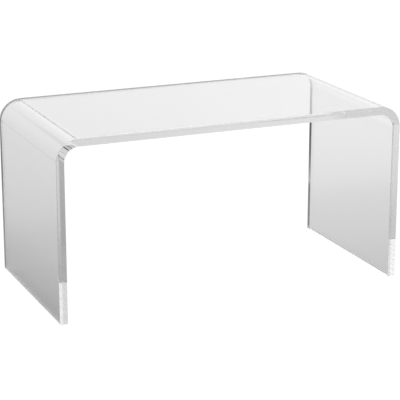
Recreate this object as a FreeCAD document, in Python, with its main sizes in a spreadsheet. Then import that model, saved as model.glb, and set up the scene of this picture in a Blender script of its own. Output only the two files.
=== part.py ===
import FreeCAD, Part
import math
import os

import Sketcher

# Waterfall coffee table: one clear acrylic sheet, heat-bent twice, on four stick-on bumpers.
# Lengths are in millimetres. +Z is up, +X runs along the tabletop and -Y is the front.
# The origin is on the floor, under the middle of the tabletop.

OUTPUT_FOLDER = "parts"

# Driving dimensions: the name of each and its value.
DRIVING_SIZES = {
    # Outside of one leg to the outside of the other.
    "overall_length": 914,
    # Front edge to back edge.
    "overall_depth": 457,
    # Floor to the top of the sheet.
    "overall_height": 457,
    "sheet_thickness": 20.6,
    # Inside radius of each heat bend.
    "bend_inner_radius": 36.4,
    # Width, along each face, of the bevel that eases the polished edges.
    "edge_bevel": 1.2,
    # The bumper is widest at its adhesive and narrows towards its tread on the floor.
    "bumper_diameter": 12.7,
    "bumper_tread_diameter": 11.3,
    "bumper_height": 2.8,
    # Rounding between the bumper's side and its tread.
    "bumper_rim_radius": 0.8,
    # Bumper's centre to the end of the leg's bottom edge.
    "bumper_end_inset": 26,
    "adhesive_thickness": 0.2,
    # How far the adhesive stays inside the bumper's outline.
    "adhesive_margin": 0.5,
}

# How high the legs end above the floor, as a formula of the driving dimensions.
FOOT_HEIGHT = "Sizes.bumper_height + Sizes.adhesive_thickness"

# Under which leg and at which end of it each bumper sits: name, side along X, end along Y.
BUMPER_PLACES = [
    ("left_front", -1, -1),
    ("left_back", -1, 1),
    ("right_front", 1, -1),
    ("right_back", 1, 1),
]

# Edges nearer to a plane than this share of their piece's thickness lie in it.
SAME_PLANE_SHARE = 1e-3

# Numbers by which a sketch knows a curve's points, its own origin and its upright axis.
START_INDEX = 1
END_INDEX = 2
CENTRE_INDEX = 3
ORIGIN_INDEX = -1
UPRIGHT_AXIS_INDEX = -2

FULL_TURN_DEGREES = 360


def make_size_sheet(document):
    """Writes the driving dimensions into a spreadsheet, one aliased cell for each."""
    sheet = document.addObject("Spreadsheet::Sheet", "Sizes")
    for row, (alias, value) in enumerate(DRIVING_SIZES.items(), start=1):
        sheet.set(f"A{row}", alias)
        sheet.set(f"B{row}", str(value))
        sheet.setAlias(f"B{row}", alias)
    document.recompute()
    return sheet


def origin_feature(body, role):
    """One of the body's own origin planes or axes."""
    return next(feature for feature in body.Origin.OriginFeatures if feature.Role == role)


def add_sketch(body, name, plane):
    sketch = body.newObject("Sketcher::SketchObject", name)
    sketch.AttachmentSupport = [(origin_feature(body, plane), "")]
    sketch.MapMode = "FlatFace"
    return sketch


def draw_line(sketch, start, end):
    return sketch.addGeometry(Part.LineSegment(FreeCAD.Vector(*start), FreeCAD.Vector(*end)))


def draw_quarter_circle(sketch, centre, radius, start_angle):
    """An arc of a quarter turn, anticlockwise from its start angle."""
    circle = Part.Circle(FreeCAD.Vector(*centre), FreeCAD.Vector(0, 0, 1), radius)
    return sketch.addGeometry(Part.ArcOfCircle(circle, start_angle, start_angle + math.pi / 2))


def start_of(curve):
    return (curve, START_INDEX)


def end_of(curve):
    return (curve, END_INDEX)


def centre_of(curve):
    return (curve, CENTRE_INDEX)


def constrain(sketch, kind, *places):
    """Adds a constraint on curves, or on points given as a curve and a point's index."""
    indices = []
    for place in places:
        indices += place if isinstance(place, tuple) else (place,)
    return sketch.addConstraint(Sketcher.Constraint(kind, *indices))


def dimension(sketch, name, expression, kind, *places):
    """Adds a dimension at the size that was drawn and ties it to the size sheet."""
    if kind == "Radius":
        drawn = sketch.Geometry[places[0]].Radius
    else:
        first, second = (sketch.getPoint(*place) for place in places)
        drawn = second.x - first.x if kind == "DistanceX" else second.y - first.y
    index = constrain(sketch, kind, *places, drawn)
    sketch.renameConstraint(index, name)
    sketch.setExpression(f"Constraints.{name}", expression)


def edges_where(shape, picks):
    """Names of the edges whose bounding box is picked."""
    return [f"Edge{number}" for number, edge in enumerate(shape.Edges, start=1) if picks(edge.BoundBox)]


def draw_bent_section(sketch, sizes):
    """Section of the bent sheet across its depth: tabletop, two bends and two legs."""
    top = sizes.overall_height
    underside = top - sizes.sheet_thickness
    foot = sizes.bumper_height + sizes.adhesive_thickness
    outside_x = sizes.overall_length / 2
    inside_x = outside_x - sizes.sheet_thickness
    inner_radius = sizes.bend_inner_radius
    outer_radius = inner_radius + sizes.sheet_thickness
    bend_x = outside_x - outer_radius
    bend_z = top - outer_radius

    top_line = draw_line(sketch, (-bend_x, top), (bend_x, top))
    underside_line = draw_line(sketch, (-bend_x, underside), (bend_x, underside))
    constrain(sketch, "Horizontal", top_line)
    constrain(sketch, "Horizontal", underside_line)

    outside_lines = []
    inner_bends = []
    # The left bend's arcs run from the tabletop to the leg, and the right bend's the other way.
    left = (-1, start_of, end_of, math.pi / 2)
    right = (1, end_of, start_of, 0)
    for side, top_end, leg_end, start_angle in (left, right):
        outside = draw_line(sketch, (side * outside_x, foot), (side * outside_x, bend_z))
        inside = draw_line(sketch, (side * inside_x, foot), (side * inside_x, bend_z))
        foot_line = draw_line(sketch, (side * outside_x, foot), (side * inside_x, foot))
        outer_bend = draw_quarter_circle(sketch, (side * bend_x, bend_z), outer_radius, start_angle)
        inner_bend = draw_quarter_circle(sketch, (side * bend_x, bend_z), inner_radius, start_angle)
        constrain(sketch, "Vertical", outside)
        constrain(sketch, "Vertical", inside)
        constrain(sketch, "Horizontal", foot_line)
        constrain(sketch, "Coincident", start_of(outside), start_of(foot_line))
        constrain(sketch, "Coincident", start_of(inside), end_of(foot_line))
        constrain(sketch, "Tangent", end_of(outside), leg_end(outer_bend))
        constrain(sketch, "Tangent", end_of(inside), leg_end(inner_bend))
        constrain(sketch, "Tangent", top_end(top_line), top_end(outer_bend))
        constrain(sketch, "Tangent", top_end(underside_line), top_end(inner_bend))
        constrain(sketch, "Coincident", centre_of(outer_bend), centre_of(inner_bend))
        outside_lines.append(outside)
        inner_bends.append(inner_bend)

    floor_point = start_of(ORIGIN_INDEX)
    left_foot, right_foot = (start_of(line) for line in outside_lines)
    underside_point, top_point = start_of(underside_line), start_of(top_line)
    constrain(sketch, "Symmetric", left_foot, right_foot, UPRIGHT_AXIS_INDEX)
    constrain(sketch, "Equal", *inner_bends)
    dimension(sketch, "length", "Sizes.overall_length", "DistanceX", left_foot, right_foot)
    dimension(sketch, "height", "Sizes.overall_height", "DistanceY", floor_point, top_point)
    dimension(sketch, "foot", FOOT_HEIGHT, "DistanceY", floor_point, left_foot)
    dimension(sketch, "thickness", "Sizes.sheet_thickness", "DistanceY", underside_point, top_point)
    dimension(sketch, "inner_radius", "Sizes.bend_inner_radius", "Radius", inner_bends[0])


def make_acrylic_sheet(document, sizes):
    """The bent sheet, padded from its section, with every polished edge eased by a bevel."""
    body = document.addObject("PartDesign::Body", "acrylic_sheet")
    section = add_sketch(body, "bent_section", "XZ_Plane")
    draw_bent_section(section, sizes)
    bent_sheet = body.newObject("PartDesign::Pad", "bent_sheet")
    bent_sheet.Profile = section
    bent_sheet.SideType = "Symmetric"
    bent_sheet.setExpression("Length", "Sizes.overall_depth")
    document.recompute()

    near = sizes.sheet_thickness * SAME_PLANE_SHARE
    foot = sizes.bumper_height + sizes.adhesive_thickness
    front_and_back = edges_where(bent_sheet.Shape, lambda box: box.YLength < near)
    leg_ends = edges_where(bent_sheet.Shape, lambda box: box.YLength > near and box.ZMax < foot + near)
    bevel = body.newObject("PartDesign::Chamfer", "eased_edges")
    bevel.Base = (bent_sheet, front_and_back + leg_ends)
    bevel.setExpression("Size", "Sizes.edge_bevel")
    return body


def draw_bumper_section(sketch, sizes):
    """Half of the bumper's section, from its axis out."""
    corners = [
        (0, 0),
        (sizes.bumper_tread_diameter / 2, 0),
        (sizes.bumper_diameter / 2, sizes.bumper_height),
        (0, sizes.bumper_height),
    ]
    lines = [draw_line(sketch, start, end) for start, end in zip(corners, corners[1:] + corners[:1])]
    for line, next_line in zip(lines, lines[1:] + lines[:1]):
        constrain(sketch, "Coincident", end_of(line), start_of(next_line))
    tread, _, seat, axis = lines
    constrain(sketch, "Coincident", start_of(tread), start_of(ORIGIN_INDEX))
    constrain(sketch, "Horizontal", tread)
    constrain(sketch, "Horizontal", seat)
    constrain(sketch, "Vertical", axis)
    tread_radius = "Sizes.bumper_tread_diameter / 2"
    seat_radius = "Sizes.bumper_diameter / 2"
    dimension(sketch, "tread_radius", tread_radius, "DistanceX", start_of(tread), end_of(tread))
    dimension(sketch, "seat_radius", seat_radius, "DistanceX", end_of(seat), start_of(seat))
    dimension(sketch, "height", "Sizes.bumper_height", "DistanceY", end_of(axis), start_of(axis))


def make_bumper(document, sizes, label):
    """A moulded round bumper with a tapered side and a rounded tread."""
    body = document.addObject("PartDesign::Body", label)
    section = add_sketch(body, f"{label}_section", "XZ_Plane")
    draw_bumper_section(section, sizes)
    turned = body.newObject("PartDesign::Revolution", f"{label}_turned")
    turned.Profile = section
    turned.ReferenceAxis = (origin_feature(body, "Z_Axis"), [""])
    turned.Angle = FULL_TURN_DEGREES
    document.recompute()

    near = sizes.bumper_height * SAME_PLANE_SHARE
    rim = body.newObject("PartDesign::Fillet", f"{label}_rim")
    rim.Base = (turned, edges_where(turned.Shape, lambda box: box.ZMax < near))
    rim.setExpression("Radius", "Sizes.bumper_rim_radius")
    return body


def make_adhesive(document, sizes, label):
    """The disc of adhesive film between a bumper and the sheet."""
    body = document.addObject("PartDesign::Body", label)
    outline = add_sketch(body, f"{label}_outline", "XY_Plane")
    radius = sizes.bumper_diameter / 2 - sizes.adhesive_margin
    disc = outline.addGeometry(Part.Circle(FreeCAD.Vector(), FreeCAD.Vector(0, 0, 1), radius))
    constrain(outline, "Coincident", centre_of(disc), start_of(ORIGIN_INDEX))
    dimension(outline, "radius", "Sizes.bumper_diameter / 2 - Sizes.adhesive_margin", "Radius", disc)
    film = body.newObject("PartDesign::Pad", f"{label}_film")
    film.Profile = outline
    film.setExpression("Length", "Sizes.adhesive_thickness")
    return body


def place_under_leg(body, side, end):
    """Ties a body to the middle of a leg's thickness, one inset in from that end of the leg."""
    body.setExpression("Placement.Base.x", f"{side} * (Sizes.overall_length - Sizes.sheet_thickness) / 2")
    body.setExpression("Placement.Base.y", f"{end} * (Sizes.overall_depth / 2 - Sizes.bumper_end_inset)")


def check_document(document, sub_parts):
    """Stops the build if an object failed to compute or a sub-part isn't one valid solid."""
    for item in document.Objects:
        if "Invalid" in item.State or "Error" in item.State:
            raise RuntimeError(f"{item.Name} did not compute: {item.State}")
    for item in sub_parts:
        if item.Shape.isNull() or not item.Shape.isValid() or len(item.Shape.Solids) != 1:
            raise RuntimeError(f"{item.Label} is not one valid solid")


def main():
    document = FreeCAD.newDocument("WaterfallTable")
    sizes = make_size_sheet(document)
    sub_parts = [make_acrylic_sheet(document, sizes)]
    for place, side, end in BUMPER_PLACES:
        bumper = make_bumper(document, sizes, f"{place}_bumper")
        adhesive = make_adhesive(document, sizes, f"{place}_adhesive")
        adhesive.setExpression("Placement.Base.z", "Sizes.bumper_height")
        for piece in (bumper, adhesive):
            place_under_leg(piece, side, end)
            sub_parts.append(piece)
    document.recompute()
    check_document(document, sub_parts)

    os.makedirs(OUTPUT_FOLDER, exist_ok=True)
    for item in sub_parts:
        item.Shape.exportStep(f"{OUTPUT_FOLDER}/{item.Label}.step")


main()
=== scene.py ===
import math
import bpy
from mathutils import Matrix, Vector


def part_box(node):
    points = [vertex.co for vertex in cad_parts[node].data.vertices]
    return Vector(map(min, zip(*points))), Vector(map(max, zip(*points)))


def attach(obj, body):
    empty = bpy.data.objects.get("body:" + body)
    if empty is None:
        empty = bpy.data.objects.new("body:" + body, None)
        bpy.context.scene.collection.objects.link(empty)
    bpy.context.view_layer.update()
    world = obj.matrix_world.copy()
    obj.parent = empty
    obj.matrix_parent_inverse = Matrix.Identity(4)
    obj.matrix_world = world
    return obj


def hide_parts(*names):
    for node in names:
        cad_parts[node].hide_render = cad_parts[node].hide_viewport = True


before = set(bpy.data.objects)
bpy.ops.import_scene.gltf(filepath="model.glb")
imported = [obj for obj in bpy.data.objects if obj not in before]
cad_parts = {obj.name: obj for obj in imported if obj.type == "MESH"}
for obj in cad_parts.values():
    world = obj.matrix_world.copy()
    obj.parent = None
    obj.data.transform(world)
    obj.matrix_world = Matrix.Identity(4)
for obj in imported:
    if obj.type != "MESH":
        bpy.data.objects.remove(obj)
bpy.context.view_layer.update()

from types import SimpleNamespace

import bpy
from mathutils import Matrix, Vector

# Looks of a clear acrylic waterfall table. Lengths are in metres, in the CAD frame: +Z is up, +X runs along
# the tabletop, -Y is the front, and the floor is at zero.

# Camera, fitted to the edges of the table in the photograph.
CAMERA_PLACE = (-1.5569, -3.6095, 1.3635)
CAMERA_YAW_DEG = 23.396
CAMERA_PITCH_DEG = 16.502
CAMERA_ROLL_DEG = -0.043
CAMERA_LENS_MM = 142.84
CAMERA_SENSOR_MM = 36

# How finely the sheet's round stretches are cut.
BEND_STEPS = 80
BEND_SUBSTEPS = 10
ARRIS_STEPS = 5

# The length over which a bend's curvature grows, and over which it fades.
BEND_EASE = 0.0045

# The sheet stops this far above the adhesive, so that the two surfaces don't fall in one plane.
SEAT_GAP = 0.00005

# Points nearer than this lie in one plane of the CAD mesh.
SAME_PLANE = 0.00001

DOWN = Vector((0, 0, -1))
ACROSS = Vector((0, 1, 0))

# Clear acrylic. Tint is what a surface lets through, and absorption is per metre of light's way.
ACRYLIC_IOR = 1.49
ACRYLIC_TINT = (0.92, 0.92, 0.92, 1)
ACRYLIC_ABSORPTION = 0.3

# Finish of the acrylic. Noise is given in waves to the metre along X, Y and Z.
POLISH_ROUGHNESS = 0.004
HAZE_WAVES = (30, 30, 30)
HAZE_ROUGHNESS = 0.012
SCUFF_WAVES = ((8, 600, 400), (500, 9, 7))
SCUFF_NOISE_RANGE = (0.64, 0.8)
SCUFF_ROUGHNESS = 0.05
WEAR_WIDTH = 0.0025
WEAR_WAVES = (90, 90, 90)
WEAR_NOISE_RANGE = (0.35, 0.75)
WEAR_ROUGHNESS = 0.12
RIPPLE_WAVES = (6, 5, 6)
RIPPLE_HEIGHT = 0.00001
# Heat ripple reaches this many outer bend radii in from the ends and down from the top.
BEND_RIPPLE_RADII = 2
BEND_RIPPLE_WAVES = (22, 8, 22)
BEND_RIPPLE_HEIGHT = 0.00002
SAW_RIPPLE_WAVES = (130, 20, 130)
SAW_RIPPLE_HEIGHT = 0.000001

# Moulded bumpers and the film that holds them.
BUMPER_IOR = 1.5
BUMPER_COLOURS = ((0.9, 0.91, 0.91, 1), (0.97, 0.97, 0.97, 1))
BUMPER_WAVES = (260, 260, 260)
BUMPER_ROUGHNESS = (0.06, 0.2)
BUMPER_GRAIN_WAVES = (1800, 1800, 1800)
BUMPER_GRAIN_HEIGHT = 0.00001
FILM_IOR = 1.47
FILM_COLOURS = ((0.93, 0.93, 0.91, 1), (0.98, 0.98, 0.97, 1))
FILM_WAVES = (420, 420, 420)
FILM_ROUGHNESS = (0.03, 0.18)
FILM_GRAIN_WAVES = (900, 900, 900)
FILM_GRAIN_HEIGHT = 0.00001

# The studio, in shares of white. The photograph is cut out on white, so the camera sees white all around,
# while the acrylic sees a pale floor with painted shade, a ring of light round the table and soft lamps.
BACKGROUND_LIGHT = 1.05
FLOOR_REACH = 12
# The floor's painted light, dimmer round the table, as places along Y or X, each with the value there.
FLOOR_LIGHT_BY_Y = (
    (-6, 0.84), (-1.5, 0.84), (-0.9, 0.72), (-0.45, 0.62), (-0.1, 0.63),
    (0.1, 0.67), (0.4, 0.71), (0.8, 0.805), (1.5, 0.85), (4, 0.82),
)
FLOOR_SHARES_BY_X = (
    (-3, 0.93), (-1.2, 0.87), (-0.75, 0.73), (-0.5, 0.715), (-0.25, 0.91), (0.4, 1), (1.2, 1.09), (3, 1.18),
)
# Painted shade on the floor in front draws the edges. It and the front flag show in what is mirrored inside
# the sheet, but only up to so many times, so that light which runs far to and fro in an edge stays bright.
# The painted shade lies aslant: for each metre towards the front, its sides shift by the slant along X.
FRONT_MIRRORINGS = 2
FRONT_SHADE_SLANT = 0.43
FRONT_SHADE_SIDES = (-1.3, 1.5)
FRONT_SHADE_RIM = 0.3
FRONT_SHADE_SHARES_BY_Y = (
    (-6, 0.76), (-2, 0.72), (-1.4, 0.8), (-0.9, 0.94), (-0.45, 0.74), (-0.1, 0.08), (0.1, 0), (4, 0),
)
# More patches of painted shade on the floor, each from a low to a high X and Y with a soft rim outside.
# They show in what is mirrored inside the sheet at least the given fewest times.
PAINTED_FLOOR_SHADES = (
    SimpleNamespace(share=0.6, x=(-0.46, -0.22), y=(-0.3, 0.19), rim=0.04, fewest=1),
    SimpleNamespace(share=0.75, x=(0.44, 0.66), y=(-0.2, 0.19), rim=0.03, fewest=1),
    SimpleNamespace(share=0.15, x=(-0.95, -0.6), y=(0.5, 1.4), rim=0.12, fewest=2),
    SimpleNamespace(share=1, x=(-0.23, -0.17), y=(1.05, 1.5), rim=0.015, fewest=5),
    SimpleNamespace(share=0.8, x=(0.54, 0.65), y=(2.5, 2.9), rim=0.03, fewest=2),
    SimpleNamespace(share=0.5, x=(-1.5, -1.1), y=(2.2, 2.8), rim=0.1, fewest=2),
)
RING_LIGHT = 0.44
CEILING_LIGHT = 0.19
RING_TOP_DEG = 27
CEILING_START_DEG = 34
# Round lamps and dark flags, placed by azimuth from the back and height, with the angles at which their
# middle ends and their rim lies, all in degrees. A flag shows either in what is mirrored inside the sheet
# or in all the other light.
LAMPS = (
    SimpleNamespace(light=0.51, azimuth=16, height=-4, core=23, rim=51),
    SimpleNamespace(light=0.51, azimuth=180, height=-4, core=40, rim=75),
    SimpleNamespace(light=1.89, azimuth=59, height=65, core=21, rim=59),
    SimpleNamespace(light=0.62, azimuth=-64, height=31, core=17, rim=64),
)
FLAGS = (
    SimpleNamespace(share=0.9, azimuth=157, height=14, core=14, rim=28, inside=True),
    SimpleNamespace(share=1, azimuth=-14, height=25.5, core=4, rim=9, inside=False),
)
SOFT_BOX_PLACE = (0, 0, 3)
SOFT_BOX_SIDE = 3
SOFT_BOX_WATTS = 11

# Light runs to and fro inside a polished edge many times before it comes out.
LIGHT_BOUNCES = 32


def measure_sheet():
    """The bent sheet's sizes, read from its CAD mesh."""
    low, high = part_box("acrylic_sheet")
    points = [vertex.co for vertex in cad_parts["acrylic_sheet"].data.vertices]
    middle_z = (low.z + high.z) / 2
    inside_x = min(abs(p.x) for p in points if p.z < middle_z)
    outside = [p for p in points if high.x - abs(p.x) < SAME_PLANE]
    bend_z = max(p.z for p in outside)
    return SimpleNamespace(
        half_length=high.x,
        half_depth=high.y,
        foot=low.z + SEAT_GAP,
        top=high.z,
        thickness=high.x - inside_x,
        outer_radius=high.z - bend_z,
        bevel=high.y - max(p.y for p in outside),
    )


def bend_path(radius):
    """Points and turn angles along a bend, from straight up at the origin round to level, towards +X.

    Softened sheet doesn't go from flat to round at a line: its curvature grows over a short length.
    """
    length = radius * math.pi / 2 + BEND_EASE
    step = length / (BEND_STEPS * BEND_SUBSTEPS)
    point = Vector((0, 0, 0))
    turn = 0
    stops = [(point.copy(), turn)]
    for index in range(1, BEND_STEPS * BEND_SUBSTEPS + 1):
        middle = (index - 1 / 2) * step
        curvature = min(middle, length - middle, BEND_EASE) / (BEND_EASE * radius)
        turn += curvature * step
        heading = turn - curvature * step / 2
        point += Vector((math.sin(heading), 0, math.cos(heading))) * step
        if index % BEND_SUBSTEPS == 0:
            stops.append((point.copy(), turn))
    return stops


def sheet_stations(sheet):
    """Cross-section stations along the sheet's middle, from the left foot over the top to the right foot.

    Each is a point, the outward normal there and the angle by which the rounded end of the leg turns down.
    """
    half_thickness = sheet.thickness / 2
    leg_x = sheet.half_length - half_thickness
    stops = bend_path(sheet.outer_radius - half_thickness)
    bend_start = Vector((-leg_x, 0, sheet.top - half_thickness - stops[-1][0].z))

    left_half = []
    for step in range(1, ARRIS_STEPS + 1):
        tilt = math.pi / 2 * (1 - step / ARRIS_STEPS)
        left_half.append((Vector((-leg_x, 0, sheet.foot + sheet.bevel)), Vector((-1, 0, 0)), tilt))
    for point, turn in stops:
        left_half.append((bend_start + point, Vector((-math.cos(turn), 0, math.sin(turn))), 0))
    mirror = Matrix.Scale(-1, 3, Vector((1, 0, 0)))
    right_half = [(mirror @ point, mirror @ normal, tilt) for point, normal, tilt in reversed(left_half)]
    return left_half + right_half


def build_sheet_mesh(sheet):
    """The bent sheet with rounded polished edges, and the exact normal of each of its vertices."""
    arris = sheet.bevel
    core_thick = sheet.thickness / 2 - arris
    core_deep = sheet.half_depth - arris
    corners = [(1, 1), (-1, 1), (-1, -1), (1, -1)]

    section = []
    for corner, (thick_side, deep_side) in enumerate(corners):
        for step in range(ARRIS_STEPS + 1):
            angle = math.pi / 2 * (corner + step / ARRIS_STEPS)
            section.append(
                SimpleNamespace(
                    corner=corner,
                    thick=thick_side * core_thick,
                    deep=deep_side * core_deep,
                    thick_share=math.cos(angle),
                    deep_share=math.sin(angle),
                )
            )

    vertices, normals, faces, rings = [], [], [], []
    stations = sheet_stations(sheet)
    for point, normal, tilt in stations:
        ring = []
        for spot in section:
            sideways = normal * spot.thick_share + ACROSS * spot.deep_share
            out = sideways * math.cos(tilt) + DOWN * math.sin(tilt)
            ring.append(len(vertices))
            vertices.append(point + normal * spot.thick + ACROSS * spot.deep + out * arris)
            normals.append(out)
        rings.append(ring)
    for ring, next_ring in zip(rings, rings[1:]):
        for here in range(len(section)):
            after = (here + 1) % len(section)
            faces.append((ring[after], ring[here], next_ring[here], next_ring[after]))

    for ring, (point, normal, _), flip in ((rings[0], stations[0], False), (rings[-1], stations[-1], True)):
        cap = []
        for thick_side, deep_side in corners:
            cap.append(len(vertices))
            corner_place = normal * thick_side * core_thick + ACROSS * deep_side * core_deep
            vertices.append(point + corner_place + DOWN * arris)
            normals.append(DOWN)
        end_faces = [tuple(cap)]
        for here in range(len(section)):
            after = (here + 1) % len(section)
            face = [ring[here], ring[after], cap[section[after].corner]]
            if section[here].corner != section[after].corner:
                face.append(cap[section[here].corner])
            end_faces.append(tuple(face))
        faces += [tuple(reversed(face)) for face in end_faces] if flip else end_faces

    mesh = bpy.data.meshes.new("clear_sheet")
    mesh.from_pydata(vertices, [], faces)
    mesh.polygons.foreach_set("use_smooth", [True] * len(mesh.polygons))
    mesh.update()
    mesh.normals_split_custom_set_from_vertices(normals)
    return mesh


def new_material(name):
    material = bpy.data.materials.new(name)
    material.use_nodes = True
    tree = material.node_tree
    return material, tree, tree.nodes["Principled BSDF"]


def math_node(tree, operation, *values):
    """A maths node's output; each value is a socket or a number."""
    node = tree.nodes.new("ShaderNodeMath")
    node.operation = operation
    for socket, value in zip(node.inputs, values):
        if isinstance(value, bpy.types.NodeSocket):
            tree.links.new(value, socket)
        else:
            socket.default_value = value
    return node.outputs["Value"]


def fade_node(tree, value, low, high, start=0, end=1):
    """Goes smoothly from start where the value is low to end where it is high."""
    node = tree.nodes.new("ShaderNodeMapRange")
    node.interpolation_type = "SMOOTHSTEP"
    tree.links.new(value, node.inputs["Value"])
    node.inputs["From Min"].default_value = low
    node.inputs["From Max"].default_value = high
    node.inputs["To Min"].default_value = start
    node.inputs["To Max"].default_value = end
    return node.outputs["Result"]


def curve_node(tree, value, points):
    """A smooth curve through points, each a value and what it becomes."""
    first, last = points[0][0], points[-1][0]
    spread = tree.nodes.new("ShaderNodeMapRange")
    tree.links.new(value, spread.inputs["Value"])
    spread.inputs["From Min"].default_value = first
    spread.inputs["From Max"].default_value = last
    curve = tree.nodes.new("ShaderNodeFloatCurve")
    tree.links.new(spread.outputs["Result"], curve.inputs["Value"])
    line = curve.mapping.curves[0]
    line.points[0].location = (0, points[0][1])
    line.points[-1].location = (1, points[-1][1])
    for place, height in points[1:-1]:
        line.points.new((place - first) / (last - first), height)
    curve.mapping.use_clip = False
    curve.mapping.update()
    return curve.outputs["Value"]


def noise_node(tree, place, waves):
    """Noise around a half, with so many waves to the metre along X, Y and Z."""
    stretch = tree.nodes.new("ShaderNodeVectorMath")
    stretch.operation = "MULTIPLY"
    tree.links.new(place, stretch.inputs[0])
    stretch.inputs[1].default_value = waves
    noise = tree.nodes.new("ShaderNodeTexNoise")
    tree.links.new(stretch.outputs["Vector"], noise.inputs["Vector"])
    noise.inputs["Scale"].default_value = 1
    return noise.outputs["Fac"]


def bump_shader(tree, shader, height):
    """Gives a shader bumps as high as the socket says, in metres."""
    bump = tree.nodes.new("ShaderNodeBump")
    bump.inputs["Distance"].default_value = 1
    tree.links.new(height, bump.inputs["Height"])
    tree.links.new(bump.outputs["Normal"], shader.inputs["Normal"])


def object_place(tree):
    """Where a point of the piece is, as a vector and as X, Y and Z, in metres."""
    place = tree.nodes.new("ShaderNodeTexCoord").outputs["Object"]
    axes = tree.nodes.new("ShaderNodeSeparateXYZ")
    tree.links.new(place, axes.inputs["Vector"])
    return place, axes.outputs


def acrylic_material(sheet):
    """Polished cast acrylic with faint haze, hair scuffs, worn edges and heat ripple in the bends."""
    material, tree, shader = new_material("polished_acrylic")
    shader.inputs["Base Color"].default_value = ACRYLIC_TINT
    shader.inputs["IOR"].default_value = ACRYLIC_IOR
    shader.inputs["Transmission Weight"].default_value = 1
    absorption = tree.nodes.new("ShaderNodeVolumeAbsorption")
    absorption.inputs["Color"].default_value = (0, 0, 0, 1)
    absorption.inputs["Density"].default_value = ACRYLIC_ABSORPTION
    tree.links.new(absorption.outputs["Volume"], tree.nodes["Material Output"].inputs["Volume"])

    place, axes = object_place(tree)
    out_x = math_node(tree, "ABSOLUTE", axes["X"])
    out_y = math_node(tree, "ABSOLUTE", axes["Y"])
    ripple_reach = BEND_RIPPLE_RADII * sheet.outer_radius
    bend_x = fade_node(tree, out_x, sheet.half_length - ripple_reach, sheet.half_length)
    bend_z = fade_node(tree, axes["Z"], sheet.top - ripple_reach, sheet.top)
    in_bend = math_node(tree, "MULTIPLY", bend_x, bend_z)
    on_side = fade_node(tree, out_y, sheet.half_depth - WEAR_WIDTH, sheet.half_depth)
    on_foot = fade_node(tree, axes["Z"], sheet.foot + WEAR_WIDTH, sheet.foot)
    on_edge = math_node(tree, "MAXIMUM", on_side, on_foot)

    haze = noise_node(tree, place, HAZE_WAVES)
    roughness = math_node(tree, "MULTIPLY_ADD", haze, HAZE_ROUGHNESS, POLISH_ROUGHNESS)
    for waves in SCUFF_WAVES:
        scuff = fade_node(tree, noise_node(tree, place, waves), *SCUFF_NOISE_RANGE)
        roughness = math_node(tree, "MULTIPLY_ADD", scuff, SCUFF_ROUGHNESS, roughness)
    worn = fade_node(tree, noise_node(tree, place, WEAR_WAVES), *WEAR_NOISE_RANGE)
    worn = math_node(tree, "MULTIPLY", worn, on_edge)
    roughness = math_node(tree, "MULTIPLY_ADD", worn, WEAR_ROUGHNESS, roughness)
    tree.links.new(roughness, shader.inputs["Roughness"])

    height = math_node(tree, "MULTIPLY", noise_node(tree, place, RIPPLE_WAVES), RIPPLE_HEIGHT)
    bend_ripple = math_node(tree, "MULTIPLY", noise_node(tree, place, BEND_RIPPLE_WAVES), in_bend)
    height = math_node(tree, "MULTIPLY_ADD", bend_ripple, BEND_RIPPLE_HEIGHT, height)
    saw_ripple = math_node(tree, "MULTIPLY", noise_node(tree, place, SAW_RIPPLE_WAVES), on_edge)
    height = math_node(tree, "MULTIPLY_ADD", saw_ripple, SAW_RIPPLE_HEIGHT, height)
    bump_shader(tree, shader, height)
    return material


def moulded_material(name, ior, colours, waves, roughness, grain_waves, grain_height):
    """Clear soft plastic whose tint and gloss vary together, with a fine grain."""
    material, tree, shader = new_material(name)
    shader.inputs["IOR"].default_value = ior
    shader.inputs["Transmission Weight"].default_value = 1
    place, _ = object_place(tree)
    cloud = noise_node(tree, place, waves)
    tint = tree.nodes.new("ShaderNodeMix")
    tint.data_type = "RGBA"
    tree.links.new(cloud, tint.inputs["Factor"])
    for socket_name, colour in zip("AB", colours):
        next(s for s in tint.inputs if s.name == socket_name and s.type == "RGBA").default_value = colour
    tree.links.new(next(s for s in tint.outputs if s.type == "RGBA"), shader.inputs["Base Color"])
    tree.links.new(fade_node(tree, cloud, 0, 1, *roughness), shader.inputs["Roughness"])
    grain = math_node(tree, "MULTIPLY", noise_node(tree, place, grain_waves), grain_height)
    bump_shader(tree, shader, grain)
    return material


def white_to_camera(tree, light):
    """White where the camera looks straight at the stage, and the studio's light otherwise."""
    path = tree.nodes.new("ShaderNodeLightPath")
    mix = tree.nodes.new("ShaderNodeMix")
    tree.links.new(path.outputs["Is Camera Ray"], mix.inputs["Factor"])
    tree.links.new(light, mix.inputs["A"])
    mix.inputs["B"].default_value = BACKGROUND_LIGHT
    return mix.outputs["Result"]


def mirrored_inside(tree, fewest=1, most=LIGHT_BOUNCES):
    """1 for light that is mirrored inside the sheet so many times on its way, and 0 for other light."""
    path = tree.nodes.new("ShaderNodeLightPath")
    times = path.outputs["Glossy Depth"]
    enough = math_node(tree, "GREATER_THAN", times, fewest - 1)
    mirrored = math_node(tree, "MULTIPLY", enough, math_node(tree, "LESS_THAN", times, most + 1))
    inside = math_node(tree, "GREATER_THAN", path.outputs["Transmission Depth"], 0)
    return math_node(tree, "MULTIPLY", mirrored, inside)


def painted_shade_node(tree, axes, shade_patch):
    """A painted shade patch's share of darkness on the floor: all of it on the patch, and none outside its
    rim.
    """
    shade = shade_patch.share
    for axis, (low, high) in (("X", shade_patch.x), ("Y", shade_patch.y)):
        shade = math_node(tree, "MULTIPLY", shade, fade_node(tree, axes[axis], low - shade_patch.rim, low))
        shade = math_node(tree, "MULTIPLY", shade, fade_node(tree, axes[axis], high + shade_patch.rim, high))
    return shade


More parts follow.
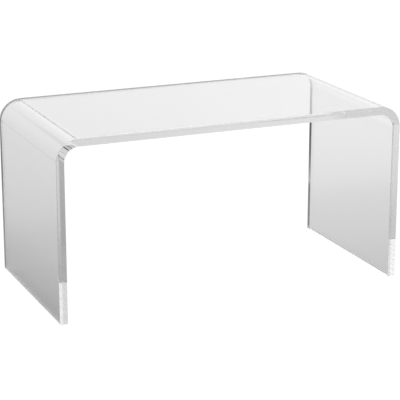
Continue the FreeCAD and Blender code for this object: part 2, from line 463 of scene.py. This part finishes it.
def painted_front_shade_node(tree, axes):
    """The front painted shade's share of darkness on the floor."""
    shade = curve_node(tree, axes["Y"], FRONT_SHADE_SHARES_BY_Y)
    across = math_node(tree, "MULTIPLY_ADD", axes["Y"], FRONT_SHADE_SLANT, axes["X"])
    for side, outward in zip(FRONT_SHADE_SIDES, (-FRONT_SHADE_RIM, FRONT_SHADE_RIM)):
        shade = math_node(tree, "MULTIPLY", shade, fade_node(tree, across, side + outward, side))
    return shade


def floor_material():
    """A pale floor that glows evenly white to the camera, with painted shade that only mirrored light sees.
    """
    material, tree, shader = new_material("pale_floor")
    _, axes = object_place(tree)
    light = math_node(
        tree,
        "MULTIPLY",
        curve_node(tree, axes["Y"], FLOOR_LIGHT_BY_Y),
        curve_node(tree, axes["X"], FLOOR_SHARES_BY_X),
    )
    # Painted shade darkens the floor's glow in light mirrored inside the sheet.
    shades = [(painted_front_shade_node(tree, axes), mirrored_inside(tree, most=FRONT_MIRRORINGS))]
    for shade_patch in PAINTED_FLOOR_SHADES:
        shades.append((painted_shade_node(tree, axes, shade_patch), mirrored_inside(tree, shade_patch.fewest)))
    for shade, seen in shades:
        shade = math_node(tree, "MULTIPLY", shade, seen)
        light = math_node(tree, "MULTIPLY", light, math_node(tree, "SUBTRACT", 1, shade))
    glow = tree.nodes.new("ShaderNodeEmission")
    tree.links.new(white_to_camera(tree, light), glow.inputs["Color"])
    tree.links.new(glow.outputs["Emission"], tree.nodes["Material Output"].inputs["Surface"])
    tree.nodes.remove(shader)
    return material


def add_sheet():
    sheet = measure_sheet()
    piece = bpy.data.objects.new("clear_sheet", build_sheet_mesh(sheet))
    bpy.context.scene.collection.objects.link(piece)
    piece.data.materials.append(acrylic_material(sheet))
    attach(piece, "root")
    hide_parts("acrylic_sheet")


def dress_feet():
    bumper = moulded_material(
        "hazy_bumper", BUMPER_IOR, BUMPER_COLOURS, BUMPER_WAVES, BUMPER_ROUGHNESS,
        BUMPER_GRAIN_WAVES, BUMPER_GRAIN_HEIGHT,
    )
    film = moulded_material(
        "clear_film", FILM_IOR, FILM_COLOURS, FILM_WAVES, FILM_ROUGHNESS,
        FILM_GRAIN_WAVES, FILM_GRAIN_HEIGHT,
    )
    for name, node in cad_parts.items():
        for ending, material in (("_bumper", bumper), ("_adhesive", film)):
            if name.endswith(ending):
                node.data.materials.clear()
                node.data.materials.append(material)


def add_floor():
    mesh = bpy.data.meshes.new("floor")
    corners = [(-1, -1), (1, -1), (1, 1), (-1, 1)]
    mesh.from_pydata([(x * FLOOR_REACH, y * FLOOR_REACH, 0) for x, y in corners], [], [(0, 1, 2, 3)])
    floor = bpy.data.objects.new("floor", mesh)
    bpy.context.scene.collection.objects.link(floor)
    floor.data.materials.append(floor_material())


def spot_node(tree, toward, spot):
    """1 where the world is seen towards the middle of a round lamp or flag, and 0 outside its rim."""
    azimuth = math.radians(spot.azimuth)
    height = math.radians(spot.height)
    aim = tree.nodes.new("ShaderNodeVectorMath")
    aim.operation = "DOT_PRODUCT"
    tree.links.new(toward, aim.inputs[0])
    aim.inputs[1].default_value = (
        math.sin(azimuth) * math.cos(height),
        math.cos(azimuth) * math.cos(height),
        math.sin(height),
    )
    angle = math_node(tree, "ARCCOSINE", aim.outputs["Value"])
    return fade_node(tree, angle, math.radians(spot.rim), math.radians(spot.core))


def studio_light():
    """A ring of light round the table under a dark ceiling, with soft round lamps and dark flags."""
    world = bpy.data.worlds.new("studio")
    world.use_nodes = True
    tree = world.node_tree
    toward = tree.nodes.new("ShaderNodeTexCoord").outputs["Generated"]
    axes = tree.nodes.new("ShaderNodeSeparateXYZ")
    tree.links.new(toward, axes.inputs["Vector"])
    height = math_node(tree, "ARCSINE", axes.outputs["Z"])
    light = fade_node(
        tree, height, math.radians(RING_TOP_DEG), math.radians(CEILING_START_DEG), RING_LIGHT, CEILING_LIGHT
    )
    for lamp in LAMPS:
        light = math_node(tree, "MULTIPLY_ADD", spot_node(tree, toward, lamp), lamp.light, light)
    inside = mirrored_inside(tree, most=FRONT_MIRRORINGS)
    outside = math_node(tree, "SUBTRACT", 1, mirrored_inside(tree))
    for flag in FLAGS:
        seen = inside if flag.inside else outside
        shade = math_node(tree, "MULTIPLY", spot_node(tree, toward, flag), flag.share)
        shade = math_node(tree, "MULTIPLY", shade, seen)
        light = math_node(tree, "MULTIPLY", light, math_node(tree, "SUBTRACT", 1, shade))
    tree.links.new(white_to_camera(tree, light), tree.nodes["Background"].inputs["Color"])
    bpy.context.scene.world = world


def add_soft_box():
    """A soft lamp straight above, which gives the tabletop a highlight from above."""
    data = bpy.data.lights.new("soft_box", "AREA")
    data.size = SOFT_BOX_SIDE
    data.energy = SOFT_BOX_WATTS
    soft_box = bpy.data.objects.new("soft_box", data)
    soft_box.location = SOFT_BOX_PLACE
    soft_box.visible_camera = False
    bpy.context.scene.collection.objects.link(soft_box)


def add_camera():
    yaw = math.radians(CAMERA_YAW_DEG)
    pitch = math.radians(CAMERA_PITCH_DEG)
    forward = Vector((math.sin(yaw) * math.cos(pitch), math.cos(yaw) * math.cos(pitch), -math.sin(pitch)))
    data = bpy.data.cameras.new("camera")
    data.sensor_fit = "HORIZONTAL"
    data.sensor_width = CAMERA_SENSOR_MM
    data.lens = CAMERA_LENS_MM
    camera = bpy.data.objects.new("camera", data)
    bpy.context.scene.collection.objects.link(camera)
    upright = forward.to_track_quat("-Z", "Y").to_matrix()
    rolled = upright @ Matrix.Rotation(math.radians(-CAMERA_ROLL_DEG), 3, "Z")
    camera.matrix_world = Matrix.Translation(CAMERA_PLACE) @ rolled.to_4x4()
    bpy.context.scene.camera = camera


add_sheet()
dress_feet()
add_floor()
studio_light()
add_soft_box()
add_camera()
bpy.context.scene.view_settings.view_transform = "Standard"
cycles = bpy.context.scene.cycles
cycles.max_bounces = LIGHT_BOUNCES
cycles.glossy_bounces = LIGHT_BOUNCES
cycles.transmission_bounces = LIGHT_BOUNCES
